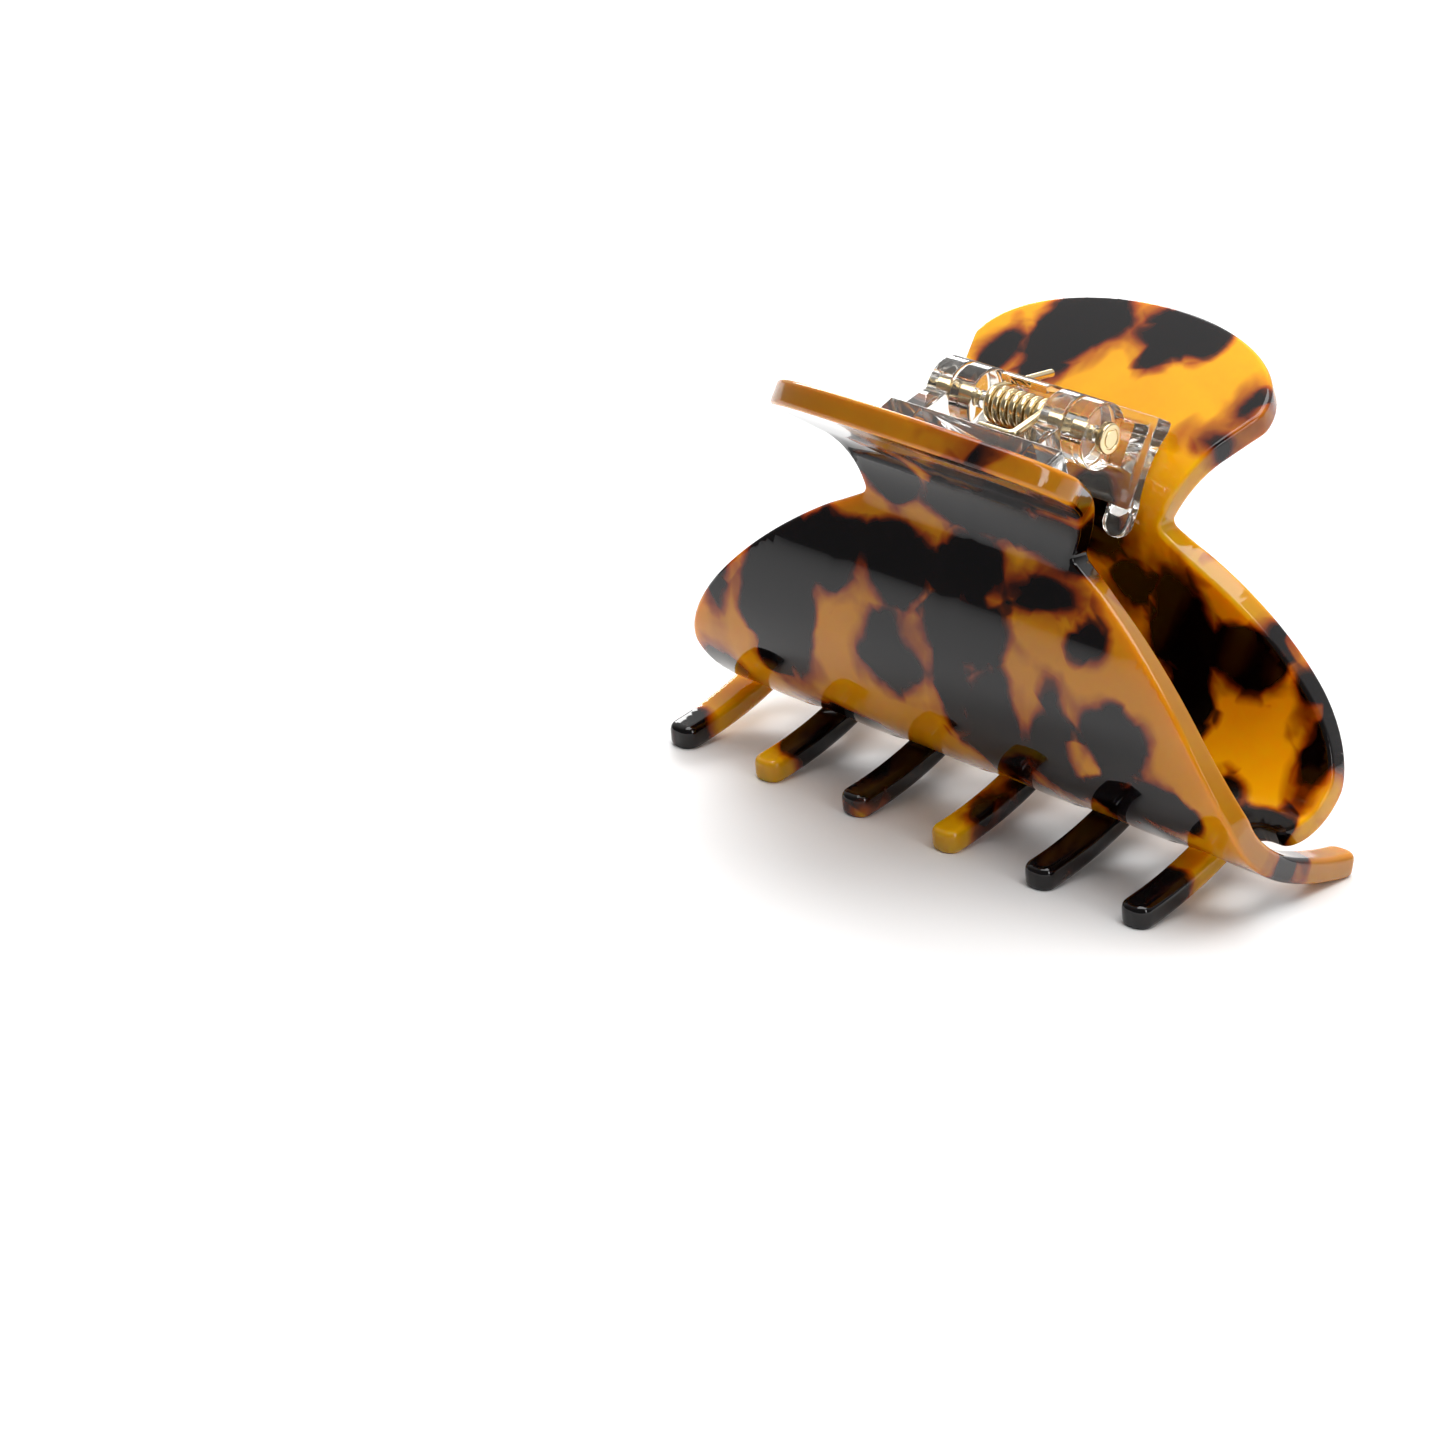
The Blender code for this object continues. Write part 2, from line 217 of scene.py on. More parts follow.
def blankOutline():
    right = []
    for degrees in range(0, 91, jaw["arcStep"]):
        angle = math.radians(degrees)
        right.append((jaw["tabHalf"] * math.sin(angle), jaw["tabCrown"] * (1 - math.cos(angle)), 0.0))
    right[-1] = (jaw["tabHalf"], jaw["tabCrown"], jaw["tabCorner"])
    right.append((jaw["neckHalf"], jaw["neckDown"], jaw["neckCorner"]))
    span = jaw["halfWidth"] - jaw["neckHalf"]
    power = jaw["moonPower"]
    first, last = jaw["moonSteps"]
    for i in range(first, last + 1):
        x = jaw["neckHalf"] + span * math.sin(math.radians(90) * i / last)
        rise = jaw["moonRise"] * max(0.0, 1 - (x / jaw["halfWidth"]) ** power) ** (1 / power)
        right.append((x, jaw["moonDown"] - rise, 0.0))
    left = [(-x, down, radius) for x, down, radius in reversed(right[1:])]
    teeth = []
    for i in range(jaw["teeth"]):
        middle = (jaw["firstTooth"] - i) * jaw["toothPitch"]
        for side in (1, -1):
            edge = middle + side * jaw["toothWidth"] / 2
            root = (edge, jaw["rootDown"], jaw["rootRound"])
            tip = (edge, sheetLength, jaw["tipRound"])
            if i == 0 and side == 1:
                teeth.append(tip)
            elif side == 1:
                teeth += [root, tip]
            else:
                teeth += [tip, root]
    plainEnd = []
    drop = jaw["rootDown"] - jaw["moonDown"]
    for i in range(jaw["endSteps"]):
        angle = math.radians(90) * i / jaw["endSteps"]
        x = jaw["endRound"] * (1 - math.sin(angle)) - jaw["halfWidth"]
        plainEnd.append((x, jaw["moonDown"] + drop * math.cos(angle), 0.0))
    points = roundCorners(right + teeth + plainEnd + left)
    fine = []
    for here, after in zip(points, points[1:] + points[:1]):
        count = math.ceil(math.dist(here, after) / jaw["grid"])
        fine += [(here[0] + (after[0] - here[0]) * k / count, here[1] + (after[1] - here[1]) * k / count)
                 for k in range(count)]
    return fine


def makeBlank():
    # Flat blank: x across, y down the sheet, z through it. Its rim is rounded, more so on the teeth.
    bm = bmesh.new()
    half = jaw["sheet"] / 2
    addPrism(bm, blankOutline(), -half, half)
    weights = bm.edges.layers.float.new("bevel_weight_edge")
    least = jaw["bodyEdge"] / jaw["toothEdge"]
    above, length = jaw["edgeBlend"]
    for edge in bm.edges:
        a, b = edge.verts
        if abs(a.co.z - b.co.z) < half:
            down = ((a.co.y + b.co.y) / 2 - jaw["rootDown"] + above) / length
            edge[weights] = least + (1 - least) * min(1.0, max(0.0, down))
    item = linkObject("blank", meshFrom(bm, "blank"))
    bevel = item.modifiers.new("rim", "BEVEL")
    bevel.limit_method = "WEIGHT"
    bevel.width = jaw["toothEdge"]
    bevel.segments = jaw["edgeSteps"]
    bevel.use_clamp_overlap = False
    item = bakeModifiers(item, "blank")
    bm = bmesh.new()
    bm.from_mesh(item.data)
    for axis, low, high in ((0, -jaw["halfWidth"], jaw["halfWidth"]), (1, 0.0, sheetLength)):
        count = round((high - low) / jaw["grid"])
        normal = [float(axis == k) for k in range(3)]
        for i in range(1, count):
            spot = [0.0, 0.0, 0.0]
            spot[axis] = low + (high - low) * i / count
            everything = bm.verts[:] + bm.edges[:] + bm.faces[:]
            bmesh.ops.bisect_plane(bm, geom=everything, dist=jaw["weld"], plane_co=spot, plane_no=normal)
    bmesh.ops.triangulate(bm, faces=bm.faces)
    bmesh.ops.dissolve_degenerate(bm, dist=jaw["weld"] / 4, edges=bm.edges)
    bmesh.ops.triangulate(bm, faces=bm.faces)
    bm.to_mesh(item.data)
    bm.free()
    return item


def markChips(mesh, chips):
    # Stores how far inside the nearest chip each point is, in millimetres. Outside is negative.
    field = mesh.attributes.new("chip", "FLOAT", "POINT")
    for vert, entry in zip(mesh.vertices, field.data):
        x, down = vert.co.x / mm, vert.co.y / mm
        best = -9.0
        for cx, cy, rx, ry in chips:
            reach = math.hypot((x - cx) / rx, (down - cy) / ry)
            best = max(best, (1 - reach) * min(rx, ry))
        entry.value = best


def makeProfileCurve():
    curve = bpy.data.curves.new("sheet profile", "CURVE")
    curve.dimensions = "3D"
    points = profilePoints()
    line = curve.splines.new("POLY")
    line.points.add(len(points) - 1)
    for spot, (y, z) in zip(line.points, points):
        spot.co = (0, y, z, 1)
    return linkObject("sheet profile", curve)


def bendTree():
    # Lays each point of the blank on the profile, at its own distance down the sheet.
    tree = bpy.data.node_groups.new("bend sheet", "GeometryNodeTree")
    tree.interface.new_socket("Geometry", in_out="OUTPUT", socket_type="NodeSocketGeometry")
    newInputs(tree, [
        ("Geometry", "NodeSocketGeometry", None),
        ("Profile", "NodeSocketObject", None),
        ("Turn", "NodeSocketFloat", 0.0),
        ("Hinge Height", "NodeSocketFloat", 0.0),
        ("Material", "NodeSocketMaterial", None),
    ])
    link = tree.links.new
    start = addNode(tree, "NodeGroupInput", (-900, 0))
    place = addNode(tree, "GeometryNodeInputPosition", (-900, -200))
    keep = addNode(tree, "GeometryNodeStoreNamedAttribute", (-650, 100), data_type="FLOAT_VECTOR")
    keep.inputs["Name"].default_value = "blank"
    link(start.outputs["Geometry"], keep.inputs["Geometry"])
    link(place.outputs[0], keep.inputs["Value"])
    parts = addNode(tree, "ShaderNodeSeparateXYZ", (-650, -200))
    link(place.outputs[0], parts.inputs[0])
    curve = addNode(tree, "GeometryNodeObjectInfo", (-650, -400))
    link(start.outputs["Profile"], curve.inputs["Object"])
    sample = addNode(tree, "GeometryNodeSampleCurve", (-400, -300), mode="LENGTH", use_all_curves=True)
    link(curve.outputs["Geometry"], sample.inputs["Curves"])
    link(parts.outputs["Y"], sample.inputs["Length"])
    across = addNode(tree, "ShaderNodeCombineXYZ", (-400, -100))
    link(parts.outputs["X"], across.inputs["X"])
    outward = addNode(tree, "ShaderNodeVectorMath", (-200, -350), operation="CROSS_PRODUCT")
    link(sample.outputs["Tangent"], outward.inputs[0])
    outward.inputs[1].default_value = (1, 0, 0)
    offset = addNode(tree, "ShaderNodeVectorMath", (0, -350), operation="SCALE")
    link(outward.outputs["Vector"], offset.inputs[0])
    link(parts.outputs["Z"], offset.inputs["Scale"])
    first = addNode(tree, "ShaderNodeVectorMath", (0, -150), operation="ADD")
    link(across.outputs[0], first.inputs[0])
    link(sample.outputs["Position"], first.inputs[1])
    total = addNode(tree, "ShaderNodeVectorMath", (200, -200), operation="ADD")
    link(first.outputs[0], total.inputs[0])
    link(offset.outputs[0], total.inputs[1])
    loose = addNode(tree, "ShaderNodeSeparateXYZ", (350, -200))
    link(total.outputs[0], loose.inputs[0])
    ground = addNode(tree, "ShaderNodeMath", (350, -350), operation="MULTIPLY")
    link(start.outputs["Hinge Height"], ground.inputs[0])
    ground.inputs[1].default_value = -1.0
    level = addNode(tree, "ShaderNodeMath", (500, -300), operation="MAXIMUM")
    link(loose.outputs["Z"], level.inputs[0])
    link(ground.outputs[0], level.inputs[1])
    faced = addNode(tree, "ShaderNodeCombineXYZ", (500, -150))
    link(loose.outputs["X"], faced.inputs["X"])
    link(loose.outputs["Y"], faced.inputs["Y"])
    link(level.outputs[0], faced.inputs["Z"])
    move = addNode(tree, "GeometryNodeSetPosition", (400, 0))
    link(keep.outputs["Geometry"], move.inputs["Geometry"])
    link(faced.outputs[0], move.inputs["Position"])
    lift = addNode(tree, "ShaderNodeCombineXYZ", (400, -250))
    link(start.outputs["Hinge Height"], lift.inputs["Z"])
    spin = addNode(tree, "ShaderNodeCombineXYZ", (400, -400))
    link(start.outputs["Turn"], spin.inputs["Z"])
    pose = addNode(tree, "GeometryNodeTransform", (600, 0))
    link(move.outputs["Geometry"], pose.inputs["Geometry"])
    link(lift.outputs[0], pose.inputs["Translation"])
    link(spin.outputs[0], pose.inputs["Rotation"])
    real = addNode(tree, "GeometryNodeRealizeInstances", (800, 0))
    link(pose.outputs["Geometry"], real.inputs["Geometry"])
    paint = addNode(tree, "GeometryNodeSetMaterial", (1000, 0))
    link(real.outputs["Geometry"], paint.inputs["Geometry"])
    link(start.outputs["Material"], paint.inputs["Material"])
    end = addNode(tree, "NodeGroupOutput", (1200, 0))
    link(paint.outputs["Geometry"], end.inputs["Geometry"])
    return tree


def makeJaw(name, blank, chips, profile, tree, turn, material):
    item = linkObject(name, blank.data.copy())
    markChips(item.data, chips)
    bend = item.modifiers.new("bend", "NODES")
    bend.node_group = tree
    setInput(bend, "Profile", profile)
    setInput(bend, "Turn", turn)
    setInput(bend, "Hinge Height", hinge.z)
    setInput(bend, "Material", material)
    shade = item.modifiers.new("even shading", "WEIGHTED_NORMAL")
    shade.weight = 100
    return bakeModifiers(item, name)


# Each bracket is a plate on the tab's inside with two knuckles and two lugs.
# Distances across, out and up are in the plate's own frame, which leans by the tilt.
bracket = {
    "gap": 0.3 * mm,                # between the plate and the jaw
    "tilt": math.radians(24.4),
    "inside": 7.9 * mm,             # from the hinge out to the plate
    "thick": 3.2 * mm,
    "up": 4.4 * mm,                 # the plate's edges above and below the hinge
    "down": 7.2 * mm,
    "half": 13.6 * mm,
    "knuckle": 4.25 * mm,           # radius
    "outer": (9.0 * mm, 12.4 * mm),         # the two knuckles' ends along the pin
    "inner": (5.3 * mm, 8.7 * mm),
    "webHalf": 2.7 * mm,            # half height of a knuckle's web, and how much it flares at the plate
    "webFlare": 0.8 * mm,
    "bore": 1.15 * mm,              # radius
    "roofHalf": 3.6 * mm,
    "roofThick": 1.0 * mm,
    "roofWrap": math.radians(32),           # how far it follows the coil round
    "lugX": 12.0 * mm,
    "lugWidth": 3.8 * mm,
    "lugDrop": 3.8 * mm,            # below the plate
    "lugRoot": 1.2 * mm,            # up inside it
    "lugBack": 0.3 * mm,            # behind its inside face
    "lugThick": 1.6 * mm,
    "edges": {"plate": 0.35 * mm, "lug": 0.35 * mm, "knuckle": 0.3 * mm, "roof": 0.25 * mm},
    "edgeSteps": 3,
    "roundSteps": 56,
}


def polar(radius, angle):
    return radius * math.cos(angle), radius * math.sin(angle)


def leaningPiece(name, bm, order, rounding):
    # Finishes a prism drawn in the plate's frame. The order says which axes are across, out and up.
    lean = Matrix.Rotation(-bracket["tilt"], 4, "X")
    for vert in bm.verts:
        vert.co = lean @ Vector([vert.co[k] for k in order])
    item = linkObject(name, meshFrom(bm, name))
    bevel = item.modifiers.new("edges", "BEVEL")
    bevel.limit_method = "ANGLE"
    bevel.angle_limit = math.radians(35)
    bevel.width = rounding
    bevel.segments = bracket["edgeSteps"]
    return bakeModifiers(item, name)


def sectionPiece(name, section, low, high, rounding):
    # Prism along X on a section of points (out to the plate, up along it).
    bm = bmesh.new()
    addPrism(bm, section, low, high)
    return leaningPiece(name, bm, (2, 0, 1), rounding)


def plateSection():
    # The back of the plate is hollowed to sit on the bend of the neck.
    tabLength, tabTurn = jaw["bends"][0]
    neckLength, neckTurn = jaw["bends"][1]
    radius = neckLength / math.radians(abs(neckTurn))
    y, z = jaw["tabTop"]
    lean = -math.radians(jaw["tabLean"] - tabTurn / 2)
    y += tabLength * math.cos(lean)
    z += tabLength * math.sin(lean)
    lean = -math.radians(jaw["tabLean"] - tabTurn)
    middle = Vector((-(y + radius * math.sin(lean)), z - radius * math.cos(lean)))
    centre = Matrix.Rotation(bracket["tilt"], 2) @ middle
    reach = radius + jaw["sheet"] / 2 + bracket["gap"]
    back = bracket["inside"] + bracket["thick"]
    outline = [(bracket["inside"], -bracket["down"])]
    for i in range(25):
        u = -bracket["down"] + (bracket["up"] + bracket["down"]) * i / 24
        outline.append((min(back, centre.x - math.sqrt(reach ** 2 - (u - centre.y) ** 2)), u))
    outline.append((bracket["inside"], bracket["up"]))
    return outline


def knuckleSection():
    meet = math.asin(bracket["webHalf"] / bracket["knuckle"])
    sweep = 2 * math.pi - 2 * meet
    steps = bracket["roundSteps"]
    points = [polar(bracket["knuckle"], meet + sweep * i / steps) for i in range(steps + 1)]
    foot = bracket["inside"] + bracket["thick"] / 4
    reach = bracket["webHalf"] + bracket["webFlare"]
    return points + [(foot, -reach), (foot, reach)]


def roofSection():
    def edge(radius, height):
        foot = Vector((bracket["inside"] + bracket["thick"] / 4, height))
        touch = math.atan2(foot.y, foot.x) + math.acos(radius / foot.length)
        return [tuple(foot)] + [polar(radius, touch + bracket["roofWrap"] * i / 12) for i in range(13)]
    top = bracket["up"] - bracket["gap"]
    outer = edge(bracket["knuckle"], top)
    inner = edge(bracket["knuckle"] - bracket["roofThick"], top - bracket["roofThick"])
    return outer + inner[::-1]


def lugPiece(name, x):
    radius = bracket["lugWidth"] / 2
    low = -bracket["down"] - bracket["lugDrop"] + radius
    high = -bracket["down"] + bracket["lugRoot"]
    outline = [(x + radius * math.cos(a), low + radius * math.sin(a))
               for a in (math.radians(-180 + 10 * i) for i in range(19))]
    outline += [(x + radius, high), (x - radius, high)]
    inside = bracket["inside"] + bracket["lugBack"]
    bm = bmesh.new()
    addPrism(bm, outline, inside, inside + bracket["lugThick"])
    return leaningPiece(name, bm, (0, 2, 1), bracket["edges"]["lug"])


def makeBracket(name, front, roof, material):
    edges = bracket["edges"]
    plate = sectionPiece(name, plateSection(), -bracket["half"], bracket["half"], edges["plate"])
    parts = []
    for label, (near, far), way in (("outer", bracket["outer"], 1), ("inner", bracket["inner"], -1)):
        low, high = sorted((near * way, far * way))
        knuckle = sectionPiece(f"{name} {label}", knuckleSection(), low, high, edges["knuckle"])
        parts.append((knuckle, "UNION"))
    for label, x in (("lug a", bracket["lugX"]), ("lug b", -bracket["lugX"])):
        parts.append((lugPiece(f"{name} {label}", x), "UNION"))
    if roof:
        roofHalf = bracket["roofHalf"]
        cover = sectionPiece(f"{name} roof", roofSection(), -roofHalf, roofHalf, edges["roof"])
        parts.append((cover, "UNION"))
    reach = bracket["half"]
    bore = linkObject("bore", lathe("bore", [(-reach, bracket["bore"]), (reach, bracket["bore"])], 48))
    parts.append((bore, "DIFFERENCE"))
    for part, operation in parts:
        cut = plate.modifiers.new(part.name, "BOOLEAN")
        cut.operation = operation
        cut.solver = "EXACT"
        cut.object = part
    shade = plate.modifiers.new("even shading", "WEIGHTED_NORMAL")
    shade.weight = 100
    shade.keep_sharp = True
    item = bakeModifiers(plate, name)
    for part, _ in parts:
        bpy.data.objects.remove(part, do_unlink=True)
    turn = Matrix.Rotation(math.pi if front else 0.0, 4, "Z")
    item.data.transform(Matrix.Translation(hinge) @ turn)
    item.data.materials.clear()
    item.data.materials.append(material)
    return item


def lathe(name, profile, steps=64):
    # Solid of revolution about X from points of (x, radius).
    bm = bmesh.new()
    rings = []
    for x, radius in profile:
        rings.append([bm.verts.new((x, *polar(radius, 2 * math.pi * k / steps))) for k in range(steps)])
    for a, b in zip(rings, rings[1:]):
        for k in range(steps):
            bm.faces.new((a[k], a[(k + 1) % steps], b[(k + 1) % steps], b[k]))
    bm.faces.new(rings[0])
    bm.faces.new(rings[-1])
    mesh = meshFrom(bm, name)
    mesh.set_sharp_from_angle(angle=math.radians(40))
    return mesh


pin = {
    "radius": 1.0 * mm,
    "reach": 12.7 * mm,             # half the length between the heads
    "head": (2.0 * mm, 0.9 * mm),           # radius and length
    "rivet": (1.5 * mm, 0.5 * mm),          # the same for the formed end
    "groove": (1.2 * mm, 0.14 * mm),        # ring in the head's face: radius, and depth and half width
    "round": 0.25 * mm,
}


def quarterRound(x, radius, size, way, steps=5):
    # Rounded rim from a head's side to its face. way is +1 towards +X.
    points = []
    for i in range(steps + 1):
        angle = math.radians(90) * i / steps
        points.append((x + way * size * (math.sin(angle) - 1), radius - size * (1 - math.cos(angle))))
    return points


def makePin(material):
    reach = pin["reach"]
    headRadius, headLength = pin["head"]
    rivetRadius, rivetLength = pin["rivet"]
    groove, depth = pin["groove"]
    face = reach + headLength
    profile = quarterRound(-reach - rivetLength, rivetRadius, pin["round"], -1)[::-1]
    profile += [(-reach, rivetRadius), (-reach, pin["radius"]), (reach, pin["radius"]), (reach, headRadius)]
    profile += quarterRound(face, headRadius, pin["round"], 1)
    profile += [(face, groove + depth), (face - depth, groove + depth / 2),
                (face - depth, groove - depth / 2), (face, groove - depth)]
    mesh = lathe("hingePin", profile)
    mesh.transform(Matrix.Translation(hinge))
    mesh.materials.append(material)
    return linkObject("hingePin", mesh)


spring = {
    "wire": 0.5 * mm,               # radius
    "sides": 20,
    "coil": 2.0 * mm,               # radius to the wire's middle
    "turns": 8,
    "half": 4.55 * mm,              # half the coil's length
    "stepsPerTurn": 40,
    "foot": 5.0 * mm,               # the bent foot along the front plate
    "footBelowEdge": 1.2 * mm,
    "footBend": 1.0 * mm,
    "rearEnd": (10.6 * mm, 1.6 * mm),       # y and z of the rear leg's end from the hinge
    "blendFrom": (4.0 * mm, 0.0, 0.0),      # from the hinge, where the wire starts to leave the front jaw
    "blendRun": (-5.4 * mm, 3.1 * mm, 0.0),         # on from there, to where it goes with the rear one
}


def tangentTurn(y, z):
    # Where round the coil a straight leg to that point leaves it.
    distance = math.hypot(y, z)
    side = 1 if y > 0 else -1
    return math.pi / 2 - (math.atan2(z, y) + side * math.acos(spring["coil"] / distance))


def springPath():
    out = bracket["inside"] - bracket["gap"] - spring["wire"]
    up = bracket["up"] - spring["footBelowEdge"]
    foot = Matrix.Rotation(bracket["tilt"], 2).inverted() @ Vector((out, up))
    footPoint = Vector((0, -foot.x, foot.y))
    half = spring["half"]
    start = tangentTurn(footPoint.y, footPoint.z)
    end = tangentTurn(*spring["rearEnd"]) + 2 * math.pi * spring["turns"]
    corner = Vector((half, footPoint.y, footPoint.z))
    leave = Vector((half, spring["coil"] * math.sin(start), spring["coil"] * math.cos(start)))
    bend = spring["footBend"]
    inward = (leave - corner).normalized()
    centre = corner + (inward + Vector((-1, 0, 0))) * bend
    points = [Vector((half - spring["foot"], footPoint.y, footPoint.z))]
    for i in range(9):
        angle = math.radians(90) * i / 8
        points.append(centre - inward * bend * math.cos(angle) + Vector((bend * math.sin(angle), 0, 0)))
    steps = spring["turns"] * spring["stepsPerTurn"]
    for k in range(steps + 1):
        angle = start + (end - start) * k / steps
        x = half - 2 * half * k / steps
        points.append(Vector((x, spring["coil"] * math.sin(angle), spring["coil"] * math.cos(angle))))
    points.append(Vector((-half, *spring["rearEnd"])))
    return [point + hinge for point in points]


def wireTree():
    tree = bpy.data.node_groups.new("round wire", "GeometryNodeTree")
    tree.interface.new_socket("Geometry", in_out="OUTPUT", socket_type="NodeSocketGeometry")
    newInputs(tree, [
        ("Geometry", "NodeSocketGeometry", None),
        ("Wire Radius", "NodeSocketFloat", 0.0005),
        ("Sides", "NodeSocketInt", 16),
        ("Material", "NodeSocketMaterial", None),
    ])
    link = tree.links.new
    start = addNode(tree, "NodeGroupInput", (-600, 0))
    ring = addNode(tree, "GeometryNodeCurvePrimitiveCircle", (-400, -200))
    link(start.outputs["Wire Radius"], ring.inputs["Radius"])
    link(start.outputs["Sides"], ring.inputs["Resolution"])
    sweep = addNode(tree, "GeometryNodeCurveToMesh", (-200, 0))
    sweep.inputs["Fill Caps"].default_value = True
    link(start.outputs["Geometry"], sweep.inputs["Curve"])
    link(ring.outputs[0], sweep.inputs["Profile Curve"])
    smooth = addNode(tree, "GeometryNodeSetShadeSmooth", (0, 0))
    link(sweep.outputs[0], smooth.inputs["Geometry"])
    real = addNode(tree, "GeometryNodeRealizeInstances", (200, 0))
    link(smooth.outputs[0], real.inputs["Geometry"])
    paint = addNode(tree, "GeometryNodeSetMaterial", (400, 0))
    link(real.outputs["Geometry"], paint.inputs["Geometry"])
    link(start.outputs["Material"], paint.inputs["Material"])
    end = addNode(tree, "NodeGroupOutput", (600, 0))
    link(paint.outputs["Geometry"], end.inputs["Geometry"])
    return tree


def makeSpring(material):
    curve = bpy.data.curves.new("torsionSpring", "CURVE")
    curve.dimensions = "3D"
    points = springPath()
    line = curve.splines.new("POLY")
    line.points.add(len(points) - 1)
    for spot, point in zip(line.points, points):
        spot.co = (*point, 1)
    item = linkObject("torsionSpring", curve)
    wire = item.modifiers.new("wire", "NODES")
    wire.node_group = wireTree()
    setInput(wire, "Wire Radius", spring["wire"])
    setInput(wire, "Sides", spring["sides"])
    setInput(wire, "Material", material)
    item = bakeModifiers(item, "torsionSpring")
    item.data.set_sharp_from_angle(angle=math.radians(50))
    return item


tortoise = {
    "wander": 5.0,                  # how far the chips' borders stray, in millimetres
    "wanderScale": 150.0,
    "facets": 1.2,                  # and how far they jump from one crystal to the next
    "facetScale": 260.0,
    "fray": 0.3,
    "frayScale": 700.0,
    "clouds": 45.0,
    # The two jaws are one acetate. The front jaw's ambers are darker, as painted shade for a jaw not lit
    # from behind. The rear jaw's ambers are brighter, as painted light shining through the sheet.
    "front": ((0.31, 0.12, 0.0), (0.68, 0.30, 0.002), (0.46, 0.16, 0.002)),     # place in the block, ambers
    "rear": ((0.72, 0.57, 0.0), (0.92, 0.50, 0.002), (0.76, 0.34, 0.002)),
    # Painted shade on the cut edge: the rim colour darkens and greys the amber there, as if the edge stood
    # in shade.
    "rim": (0.42, 0.46, 1.0),       # how much the cut edge darkens the amber
    "rimShadeShare": 0.6,
    "rimShadeDepth": (1.6 * mm, 1.15 * mm),      # from the sheet's middle, where that starts and is full
    "steps": (                      # colour by distance into a chip, from -4 to +2 millimetres
        (0.46, (1.0, 1.0, 1.0)),
        (0.57, (0.66, 0.34, 0.60)),
        (0.63, (0.18, 0.07, 0.50)),
        (0.70, (0.008, 0.010, 1.3)),
    ),
    "bleedScale": 105.0,
    "bleed": 9.0,                   # how far the brown bleed strays around the chips, in millimetres
    "bleedSteps": (                 # its colour, from -5 to +3 millimetres
        (0.38, (1.0, 1.0, 1.0)),
        (0.60, (0.60, 0.36, 0.5)),
        (0.85, (0.26, 0.11, 0.3)),
    ),
}


def sumOf(tree, place, first, second):
    node = addNode(tree, "ShaderNodeMath", place, operation="ADD")
    tree.links.new(first, node.inputs[0])
    tree.links.new(second, node.inputs[1])
    return node.outputs[0]


def stray(tree, place, value, amount):
    # (value - 0.5) * amount
    node = addNode(tree, "ShaderNodeMath", place, operation="MULTIPLY_ADD")
    tree.links.new(value, node.inputs[0])
    node.inputs[1].default_value = amount
    node.inputs[2].default_value = -amount / 2
    return node.outputs[0]


def distanceRamp(tree, place, depth, low, high, steps):
    # Colours laid over a distance that runs from low to high millimetres.
    span = addNode(tree, "ShaderNodeMapRange", place)
    span.inputs["From Min"].default_value = low
    span.inputs["From Max"].default_value = high
    tree.links.new(depth, span.inputs["Value"])
    ramp = addNode(tree, "ShaderNodeValToRGB", (place[0] + 200, place[1]))
    stops = ramp.color_ramp.elements
    stops.remove(stops[-1])
    for i, (spot, colour) in enumerate(steps):
        stop = stops[0] if i == 0 else stops.new(spot)
        stop.position = spot
        stop.color = (*colour, 1)
    tree.links.new(span.outputs[0], ramp.inputs[0])
    return ramp.outputs["Color"]


def mixOf(tree, place, amount, first, second, blend="MIX"):
    node = addNode(tree, "ShaderNodeMix", place, data_type="RGBA", blend_type=blend)
    for value, socket in ((amount, 0), (first, 6), (second, 7)):
        if isinstance(value, bpy.types.NodeSocket):
            tree.links.new(value, node.inputs[socket])
        else:
            node.inputs[socket].default_value = value
    return node.outputs[2]


